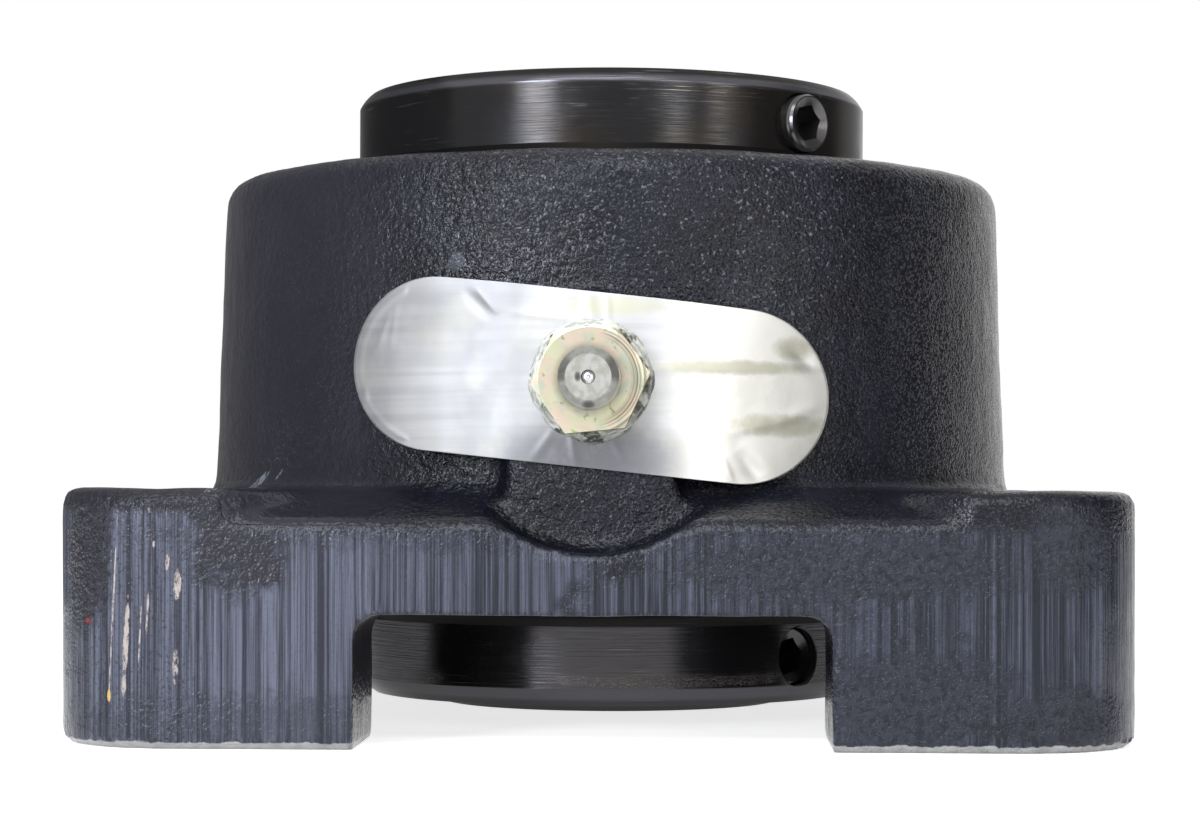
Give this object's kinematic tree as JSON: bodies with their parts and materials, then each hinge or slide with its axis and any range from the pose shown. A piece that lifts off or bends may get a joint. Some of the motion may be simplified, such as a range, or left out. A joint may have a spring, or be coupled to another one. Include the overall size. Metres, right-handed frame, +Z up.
{
  "type": "four-bolt flange bearing",
  "caption": "Square four-bolt flange bearing with a double-row tapered roller bearing, two set-screw locking collars and a grease fitting on the side.",
  "frame": {"origin": "centre of the mounting plane, on the bore axis, at the underside of the four feet", "axes": "+Z up along the bore, away from the mounting plane; -Y towards the grease fitting and the label; +X to the right seen from there"},
  "size_m": [0.1174, 0.1201, 0.0776],
  "materials": {
    "housing_paint": "semi-gloss dark blue-grey paint over a sand-cast surface",
    "collar_steel": "turned and black-oxide finished",
    "screw_steel": "black alloy steel",
    "fitting_steel": "yellowish zinc plate",
    "label_foil": "thin satin foil, bare",
    "bearing_steel": "ground bearing steel",
    "cage_steel": "pressed sheet steel",
    "seal_case_steel": "pressed sheet steel",
    "seal_rubber": "nitrile rubber",
    "clear_sealant": "set thread sealant, cloudy and dirty",
    "spring_steel": "drawn wire"
  },
  "bodies": {
    "flange_unit": {"housing": "housing_paint", "grease_fitting_body": "fitting_steel", "grease_fitting_spring": "spring_steel", "foil_label": "label_foil", "fitting_sealant": "clear_sealant", "lower_cup": "bearing_steel", "upper_cup": "bearing_steel", "lower_seal_case": "seal_case_steel", "upper_seal_case": "seal_case_steel", "lower_seal_lip": "seal_rubber", "upper_seal_lip": "seal_rubber"},
    "inner_assembly": {"lower_inner_ring": "bearing_steel", "upper_inner_ring": "bearing_steel", "inner_ring_spacer": "bearing_steel", "lower_collar": "collar_steel", "upper_collar": "collar_steel", "lower_front_set_screw": "screw_steel", "lower_rear_set_screw": "screw_steel", "upper_front_set_screw": "screw_steel", "upper_rear_set_screw": "screw_steel"},
    "lower_cage_set": {"lower_cage": "cage_steel"},
    "upper_cage_set": {"upper_cage": "cage_steel"},
    "check_ball": {"grease_fitting_ball": "bearing_steel"},
    "lower_roller_01_body": {"lower_roller_01": "bearing_steel"},
    "lower_roller_02_body": {"lower_roller_02": "bearing_steel"},
    "lower_roller_03_body": {"lower_roller_03": "bearing_steel"},
    "lower_roller_04_body": {"lower_roller_04": "bearing_steel"},
    "lower_roller_05_body": {"lower_roller_05": "bearing_steel"},
    "lower_roller_06_body": {"lower_roller_06": "bearing_steel"},
    "lower_roller_07_body": {"lower_roller_07": "bearing_steel"},
    "lower_roller_08_body": {"lower_roller_08": "bearing_steel"},
    "lower_roller_09_body": {"lower_roller_09": "bearing_steel"},
    "lower_roller_10_body": {"lower_roller_10": "bearing_steel"},
    "lower_roller_11_body": {"lower_roller_11": "bearing_steel"},
    "lower_roller_12_body": {"lower_roller_12": "bearing_steel"},
    "lower_roller_13_body": {"lower_roller_13": "bearing_steel"},
    "lower_roller_14_body": {"lower_roller_14": "bearing_steel"},
    "lower_roller_15_body": {"lower_roller_15": "bearing_steel"},
    "lower_roller_16_body": {"lower_roller_16": "bearing_steel"},
    "lower_roller_17_body": {"lower_roller_17": "bearing_steel"},
    "lower_roller_18_body": {"lower_roller_18": "bearing_steel"},
    "upper_roller_01_body": {"upper_roller_01": "bearing_steel"},
    "upper_roller_02_body": {"upper_roller_02": "bearing_steel"},
    "upper_roller_03_body": {"upper_roller_03": "bearing_steel"},
    "upper_roller_04_body": {"upper_roller_04": "bearing_steel"},
    "upper_roller_05_body": {"upper_roller_05": "bearing_steel"},
    "upper_roller_06_body": {"upper_roller_06": "bearing_steel"},
    "upper_roller_07_body": {"upper_roller_07": "bearing_steel"},
    "upper_roller_08_body": {"upper_roller_08": "bearing_steel"},
    "upper_roller_09_body": {"upper_roller_09": "bearing_steel"},
    "upper_roller_10_body": {"upper_roller_10": "bearing_steel"},
    "upper_roller_11_body": {"upper_roller_11": "bearing_steel"},
    "upper_roller_12_body": {"upper_roller_12": "bearing_steel"},
    "upper_roller_13_body": {"upper_roller_13": "bearing_steel"},
    "upper_roller_14_body": {"upper_roller_14": "bearing_steel"},
    "upper_roller_15_body": {"upper_roller_15": "bearing_steel"},
    "upper_roller_16_body": {"upper_roller_16": "bearing_steel"},
    "upper_roller_17_body": {"upper_roller_17": "bearing_steel"},
    "upper_roller_18_body": {"upper_roller_18": "bearing_steel"}
  },
  "joints": [
    {"name": "shaft_spin", "type": "hinge", "parent": "flange_unit", "child": "inner_assembly", "pos_m": [0, 0, 0.0395], "axis": [0, 0, 1], "continuous": true},
    {"name": "lower_cage_spin", "type": "hinge", "parent": "flange_unit", "child": "lower_cage_set", "pos_m": [0, 0, 0.02964], "axis": [0, 0, 1], "continuous": true},
    {"name": "upper_cage_spin", "type": "hinge", "parent": "flange_unit", "child": "upper_cage_set", "pos_m": [0, 0, 0.04936], "axis": [0, 0, 1], "continuous": true},
    {"name": "check_ball_slide", "type": "slide", "parent": "flange_unit", "child": "check_ball", "axis": [0, 1, 0], "range_m": [0, 0.0008], "stiffness_N_per_m": 500, "springref_m": -0.002},
    {"name": "lower_roller_01_spin", "type": "hinge", "parent": "lower_cage_set", "child": "lower_roller_01_body", "pos_m": [0.02799, 0, 0.02964], "axis": [-0.2289, 0, 0.9735], "continuous": true},
    {"name": "lower_roller_02_spin", "type": "hinge", "parent": "lower_cage_set", "child": "lower_roller_02_body", "pos_m": [0.0263, 0.00957, 0.02964], "axis": [-0.2151, -0.0783, 0.9735], "continuous": true},
    {"name": "lower_roller_03_spin", "type": "hinge", "parent": "lower_cage_set", "child": "lower_roller_03_body", "pos_m": [0.02144, 0.01799, 0.02964], "axis": [-0.1753, -0.1471, 0.9735], "continuous": true},
    {"name": "lower_roller_04_spin", "type": "hinge", "parent": "lower_cage_set", "child": "lower_roller_04_body", "pos_m": [0.01399, 0.02424, 0.02964], "axis": [-0.1144, -0.1982, 0.9735], "continuous": true},
    {"name": "lower_roller_05_spin", "type": "hinge", "parent": "lower_cage_set", "child": "lower_roller_05_body", "pos_m": [0.00486, 0.02756, 0.02964], "axis": [-0.0397, -0.2254, 0.9735], "continuous": true},
    {"name": "lower_roller_06_spin", "type": "hinge", "parent": "lower_cage_set", "child": "lower_roller_06_body", "pos_m": [-0.00486, 0.02756, 0.02964], "axis": [0.0397, -0.2254, 0.9735], "continuous": true},
    {"name": "lower_roller_07_spin", "type": "hinge", "parent": "lower_cage_set", "child": "lower_roller_07_body", "pos_m": [-0.01399, 0.02424, 0.02964], "axis": [0.1144, -0.1982, 0.9735], "continuous": true},
    {"name": "lower_roller_08_spin", "type": "hinge", "parent": "lower_cage_set", "child": "lower_roller_08_body", "pos_m": [-0.02144, 0.01799, 0.02964], "axis": [0.1753, -0.1471, 0.9735], "continuous": true},
    {"name": "lower_roller_09_spin", "type": "hinge", "parent": "lower_cage_set", "child": "lower_roller_09_body", "pos_m": [-0.0263, 0.00957, 0.02964], "axis": [0.2151, -0.0783, 0.9735], "continuous": true},
    {"name": "lower_roller_10_spin", "type": "hinge", "parent": "lower_cage_set", "child": "lower_roller_10_body", "pos_m": [-0.02799, 0, 0.02964], "axis": [0.2289, 0, 0.9735], "continuous": true},
    {"name": "lower_roller_11_spin", "type": "hinge", "parent": "lower_cage_set", "child": "lower_roller_11_body", "pos_m": [-0.0263, -0.00957, 0.02964], "axis": [0.2151, 0.0783, 0.9735], "continuous": true},
    {"name": "lower_roller_12_spin", "type": "hinge", "parent": "lower_cage_set", "child": "lower_roller_12_body", "pos_m": [-0.02144, -0.01799, 0.02964], "axis": [0.1753, 0.1471, 0.9735], "continuous": true},
    {"name": "lower_roller_13_spin", "type": "hinge", "parent": "lower_cage_set", "child": "lower_roller_13_body", "pos_m": [-0.01399, -0.02424, 0.02964], "axis": [0.1144, 0.1982, 0.9735], "continuous": true},
    {"name": "lower_roller_14_spin", "type": "hinge", "parent": "lower_cage_set", "child": "lower_roller_14_body", "pos_m": [-0.00486, -0.02756, 0.02964], "axis": [0.0397, 0.2254, 0.9735], "continuous": true},
    {"name": "lower_roller_15_spin", "type": "hinge", "parent": "lower_cage_set", "child": "lower_roller_15_body", "pos_m": [0.00486, -0.02756, 0.02964], "axis": [-0.0397, 0.2254, 0.9735], "continuous": true},
    {"name": "lower_roller_16_spin", "type": "hinge", "parent": "lower_cage_set", "child": "lower_roller_16_body", "pos_m": [0.01399, -0.02424, 0.02964], "axis": [-0.1144, 0.1982, 0.9735], "continuous": true},
    {"name": "lower_roller_17_spin", "type": "hinge", "parent": "lower_cage_set", "child": "lower_roller_17_body", "pos_m": [0.02144, -0.01799, 0.02964], "axis": [-0.1753, 0.1471, 0.9735], "continuous": true},
    {"name": "lower_roller_18_spin", "type": "hinge", "parent": "lower_cage_set", "child": "lower_roller_18_body", "pos_m": [0.0263, -0.00957, 0.02964], "axis": [-0.2151, 0.0783, 0.9735], "continuous": true},
    {"name": "upper_roller_01_spin", "type": "hinge", "parent": "upper_cage_set", "child": "upper_roller_01_body", "pos_m": [0.02799, 0, 0.04936], "axis": [0.2289, 0, 0.9735], "continuous": true},
    {"name": "upper_roller_02_spin", "type": "hinge", "parent": "upper_cage_set", "child": "upper_roller_02_body", "pos_m": [0.0263, 0.00957, 0.04936], "axis": [0.2151, 0.0783, 0.9735], "continuous": true},
    {"name": "upper_roller_03_spin", "type": "hinge", "parent": "upper_cage_set", "child": "upper_roller_03_body", "pos_m": [0.02144, 0.01799, 0.04936], "axis": [0.1753, 0.1471, 0.9735], "continuous": true},
    {"name": "upper_roller_04_spin", "type": "hinge", "parent": "upper_cage_set", "child": "upper_roller_04_body", "pos_m": [0.01399, 0.02424, 0.04936], "axis": [0.1144, 0.1982, 0.9735], "continuous": true},
    {"name": "upper_roller_05_spin", "type": "hinge", "parent": "upper_cage_set", "child": "upper_roller_05_body", "pos_m": [0.00486, 0.02756, 0.04936], "axis": [0.0397, 0.2254, 0.9735], "continuous": true},
    {"name": "upper_roller_06_spin", "type": "hinge", "parent": "upper_cage_set", "child": "upper_roller_06_body", "pos_m": [-0.00486, 0.02756, 0.04936], "axis": [-0.0397, 0.2254, 0.9735], "continuous": true},
    {"name": "upper_roller_07_spin", "type": "hinge", "parent": "upper_cage_set", "child": "upper_roller_07_body", "pos_m": [-0.01399, 0.02424, 0.04936], "axis": [-0.1144, 0.1982, 0.9735], "continuous": true},
    {"name": "upper_roller_08_spin", "type": "hinge", "parent": "upper_cage_set", "child": "upper_roller_08_body", "pos_m": [-0.02144, 0.01799, 0.04936], "axis": [-0.1753, 0.1471, 0.9735], "continuous": true},
    {"name": "upper_roller_09_spin", "type": "hinge", "parent": "upper_cage_set", "child": "upper_roller_09_body", "pos_m": [-0.0263, 0.00957, 0.04936], "axis": [-0.2151, 0.0783, 0.9735], "continuous": true},
    {"name": "upper_roller_10_spin", "type": "hinge", "parent": "upper_cage_set", "child": "upper_roller_10_body", "pos_m": [-0.02799, 0, 0.04936], "axis": [-0.2289, 0, 0.9735], "continuous": true},
    {"name": "upper_roller_11_spin", "type": "hinge", "parent": "upper_cage_set", "child": "upper_roller_11_body", "pos_m": [-0.0263, -0.00957, 0.04936], "axis": [-0.2151, -0.0783, 0.9735], "continuous": true},
    {"name": "upper_roller_12_spin", "type": "hinge", "parent": "upper_cage_set", "child": "upper_roller_12_body", "pos_m": [-0.02144, -0.01799, 0.04936], "axis": [-0.1753, -0.1471, 0.9735], "continuous": true},
    {"name": "upper_roller_13_spin", "type": "hinge", "parent": "upper_cage_set", "child": "upper_roller_13_body", "pos_m": [-0.01399, -0.02424, 0.04936], "axis": [-0.1144, -0.1982, 0.9735], "continuous": true},
    {"name": "upper_roller_14_spin", "type": "hinge", "parent": "upper_cage_set", "child": "upper_roller_14_body", "pos_m": [-0.00486, -0.02756, 0.04936], "axis": [-0.0397, -0.2254, 0.9735], "continuous": true},
    {"name": "upper_roller_15_spin", "type": "hinge", "parent": "upper_cage_set", "child": "upper_roller_15_body", "pos_m": [0.00486, -0.02756, 0.04936], "axis": [0.0397, -0.2254, 0.9735], "continuous": true},
    {"name": "upper_roller_16_spin", "type": "hinge", "parent": "upper_cage_set", "child": "upper_roller_16_body", "pos_m": [0.01399, -0.02424, 0.04936], "axis": [0.1144, -0.1982, 0.9735], "continuous": true},
    {"name": "upper_roller_17_spin", "type": "hinge", "parent": "upper_cage_set", "child": "upper_roller_17_body", "pos_m": [0.02144, -0.01799, 0.04936], "axis": [0.1753, -0.1471, 0.9735], "continuous": true},
    {"name": "upper_roller_18_spin", "type": "hinge", "parent": "upper_cage_set", "child": "upper_roller_18_body", "pos_m": [0.0263, -0.00957, 0.04936], "axis": [0.2151, -0.0783, 0.9735], "continuous": true}
  ],
  "couplings": [
    {"joint": "lower_cage_spin", "follows": "shaft_spin", "ratio": 0.43428},
    {"joint": "upper_cage_spin", "follows": "shaft_spin", "ratio": 0.43428},
    {"joint": "lower_roller_01_spin", "follows": "shaft_spin", "ratio": -3.639},
    {"joint": "lower_roller_02_spin", "follows": "shaft_spin", "ratio": -3.639},
    {"joint": "lower_roller_03_spin", "follows": "shaft_spin", "ratio": -3.639},
    {"joint": "lower_roller_04_spin", "follows": "shaft_spin", "ratio": -3.639},
    {"joint": "lower_roller_05_spin", "follows": "shaft_spin", "ratio": -3.639},
    {"joint": "lower_roller_06_spin", "follows": "shaft_spin", "ratio": -3.639},
    {"joint": "lower_roller_07_spin", "follows": "shaft_spin", "ratio": -3.639},
    {"joint": "lower_roller_08_spin", "follows": "shaft_spin", "ratio": -3.639},
    {"joint": "lower_roller_09_spin", "follows": "shaft_spin", "ratio": -3.639},
    {"joint": "lower_roller_10_spin", "follows": "shaft_spin", "ratio": -3.639},
    {"joint": "lower_roller_11_spin", "follows": "shaft_spin", "ratio": -3.639},
    {"joint": "lower_roller_12_spin", "follows": "shaft_spin", "ratio": -3.639},
    {"joint": "lower_roller_13_spin", "follows": "shaft_spin", "ratio": -3.639},
    {"joint": "lower_roller_14_spin", "follows": "shaft_spin", "ratio": -3.639},
    {"joint": "lower_roller_15_spin", "follows": "shaft_spin", "ratio": -3.639},
    {"joint": "lower_roller_16_spin", "follows": "shaft_spin", "ratio": -3.639},
    {"joint": "lower_roller_17_spin", "follows": "shaft_spin", "ratio": -3.639},
    {"joint": "lower_roller_18_spin", "follows": "shaft_spin", "ratio": -3.639},
    {"joint": "upper_roller_01_spin", "follows": "shaft_spin", "ratio": -3.639},
    {"joint": "upper_roller_02_spin", "follows": "shaft_spin", "ratio": -3.639},
    {"joint": "upper_roller_03_spin", "follows": "shaft_spin", "ratio": -3.639},
    {"joint": "upper_roller_04_spin", "follows": "shaft_spin", "ratio": -3.639},
    {"joint": "upper_roller_05_spin", "follows": "shaft_spin", "ratio": -3.639},
    {"joint": "upper_roller_06_spin", "follows": "shaft_spin", "ratio": -3.639},
    {"joint": "upper_roller_07_spin", "follows": "shaft_spin", "ratio": -3.639},
    {"joint": "upper_roller_08_spin", "follows": "shaft_spin", "ratio": -3.639},
    {"joint": "upper_roller_09_spin", "follows": "shaft_spin", "ratio": -3.639},
    {"joint": "upper_roller_10_spin", "follows": "shaft_spin", "ratio": -3.639},
    {"joint": "upper_roller_11_spin", "follows": "shaft_spin", "ratio": -3.639},
    {"joint": "upper_roller_12_spin", "follows": "shaft_spin", "ratio": -3.639},
    {"joint": "upper_roller_13_spin", "follows": "shaft_spin", "ratio": -3.639},
    {"joint": "upper_roller_14_spin", "follows": "shaft_spin", "ratio": -3.639},
    {"joint": "upper_roller_15_spin", "follows": "shaft_spin", "ratio": -3.639},
    {"joint": "upper_roller_16_spin", "follows": "shaft_spin", "ratio": -3.639},
    {"joint": "upper_roller_17_spin", "follows": "shaft_spin", "ratio": -3.639},
    {"joint": "upper_roller_18_spin", "follows": "shaft_spin", "ratio": -3.639}
  ]
}
